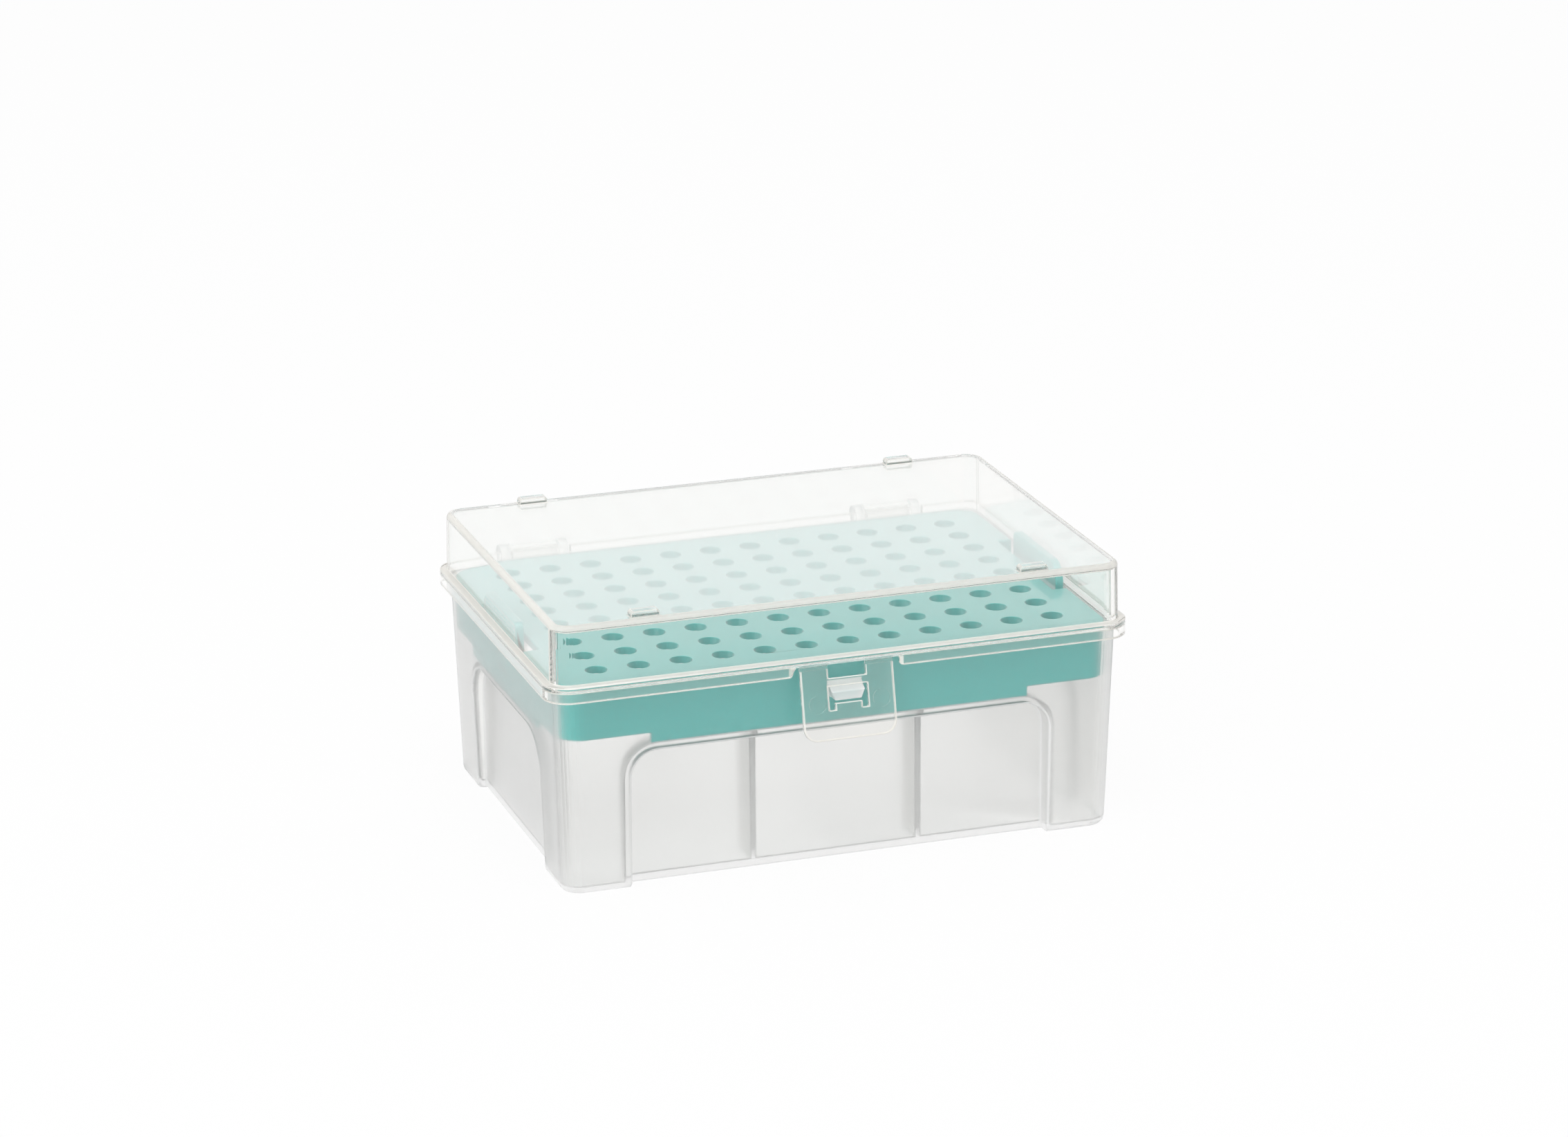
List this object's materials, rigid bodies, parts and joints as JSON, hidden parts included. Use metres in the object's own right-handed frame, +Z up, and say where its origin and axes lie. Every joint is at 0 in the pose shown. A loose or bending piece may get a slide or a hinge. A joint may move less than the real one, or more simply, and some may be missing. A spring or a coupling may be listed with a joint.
{
  "type": "pipette tip box",
  "caption": "Hinged box for pipette tips: frosted base, lift-out rack with a grid of tip holes, clear lid with stacking lugs, front latch flap.",
  "frame": {"origin": "on the underside of the base, below the middle of the tip-hole grid", "axes": "+X along the box's length, towards the right with the latch in front; +Y from the latch side to the hinge side; +Z up from the bench"},
  "size_m": [0.1256, 0.0951, 0.0595],
  "materials": {
    "frosted_plastic": "frosted translucent polypropylene, satin outside",
    "teal_plastic": "opaque teal moulding with a soft gloss",
    "clear_plastic": "clear polished moulding with bright edges"
  },
  "bodies": {
    "base": {"base": "frosted_plastic", "rack": "teal_plastic"},
    "lid": {"lid": "clear_plastic"},
    "latch": {"latch": "clear_plastic"}
  },
  "joints": [
    {"name": "lid_hinge", "type": "hinge", "parent": "base", "child": "lid", "pos_m": [0, 0.0457, 0.0443], "axis": [-1, 0, 0], "range_deg": [0, 105]},
    {"name": "latch_hinge", "type": "hinge", "parent": "lid", "child": "latch", "pos_m": [0, -0.0432, 0.0437], "axis": [-1, 0, 0], "range_deg": [0, 75]}
  ]
}
